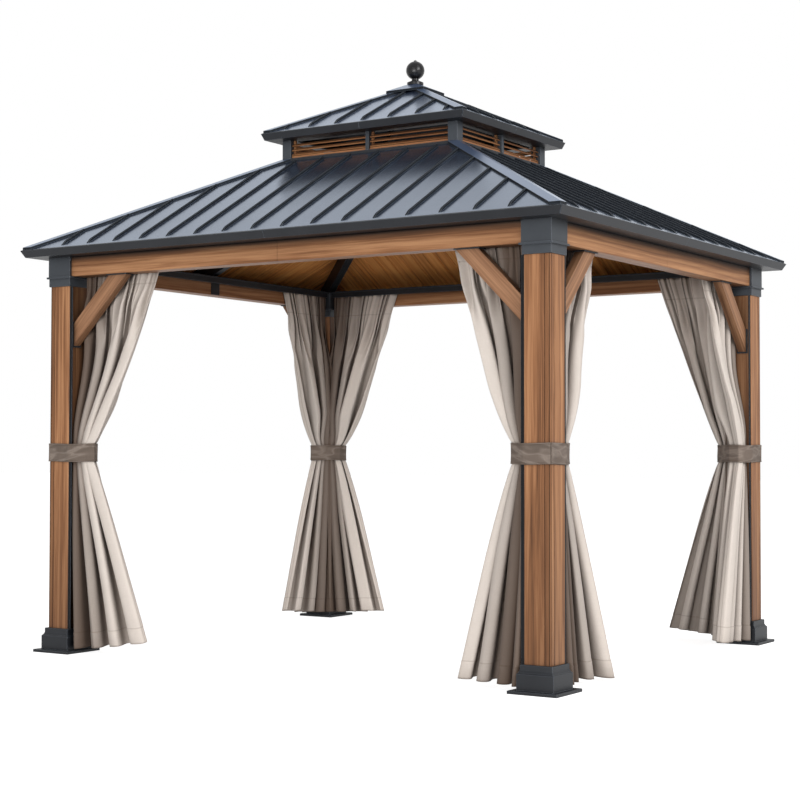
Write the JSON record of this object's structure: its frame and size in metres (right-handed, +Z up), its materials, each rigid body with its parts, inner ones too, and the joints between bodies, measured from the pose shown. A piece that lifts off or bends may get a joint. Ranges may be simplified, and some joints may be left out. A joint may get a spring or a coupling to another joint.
{
  "type": "two-tier hardtop gazebo",
  "caption": "Open hardtop gazebo on square wood-grain posts with a standing-seam metal roof, a louvred upper tier, corner braces and tied-back curtains.",
  "frame": {"origin": "ground level at the middle of the plan", "axes": "+Z up, -Y the front with the wider opening, X along the longer side"},
  "size_m": [3.496, 2.986, 3.4823],
  "materials": {
    "wood_grain": "satin wood-grain coating on aluminium",
    "charcoal_metal": "satin charcoal powder coat",
    "roof_metal": "satin dark grey coated steel",
    "ceiling_planks": "satin plank lining",
    "louver_wood": "satin wood-grain coating on aluminium",
    "curtain_fabric": "plain woven polyester, warm grey",
    "tie_fabric": "plain woven band, darker warm grey"
  },
  "bodies": {
    "root": {"post_front_left": "wood_grain", "post_base_front_left": "charcoal_metal", "post_collar_front_left": "charcoal_metal", "curtains_front_left": "curtain_fabric", "post_front_right": "wood_grain", "post_base_front_right": "charcoal_metal", "post_collar_front_right": "charcoal_metal", "curtains_front_right": "curtain_fabric", "post_back_right": "wood_grain", "post_base_back_right": "charcoal_metal", "post_collar_back_right": "charcoal_metal", "curtains_back_right": "curtain_fabric", "post_back_left": "wood_grain", "post_base_back_left": "charcoal_metal", "post_collar_back_left": "charcoal_metal", "curtains_back_left": "curtain_fabric", "beam_front": "wood_grain", "roof_panel_front": "roof_metal", "beam_right": "wood_grain", "roof_panel_right": "roof_metal", "beam_back": "wood_grain", "roof_panel_back": "roof_metal", "beam_left": "wood_grain", "roof_panel_left": "roof_metal", "post_edge_trims": "charcoal_metal", "tie_bands": "tie_fabric", "beam_splices": "charcoal_metal", "curtain_rails": "charcoal_metal", "corner_braces": "wood_grain", "brace_plates": "charcoal_metal", "eave_trims": "charcoal_metal", "ceiling_panels": "ceiling_planks", "roof_hip_caps": "roof_metal", "hip_rafters": "charcoal_metal", "side_rafters": "charcoal_metal", "roof_curb": "charcoal_metal", "cupola_frame": "charcoal_metal", "cupola_louvers": "louver_wood", "upper_roof_panels": "roof_metal", "upper_eave_trims": "charcoal_metal", "upper_hip_caps": "roof_metal", "upper_rafters": "charcoal_metal", "apex_cap": "roof_metal", "finial": "charcoal_metal"}
  },
  "joints": []
}
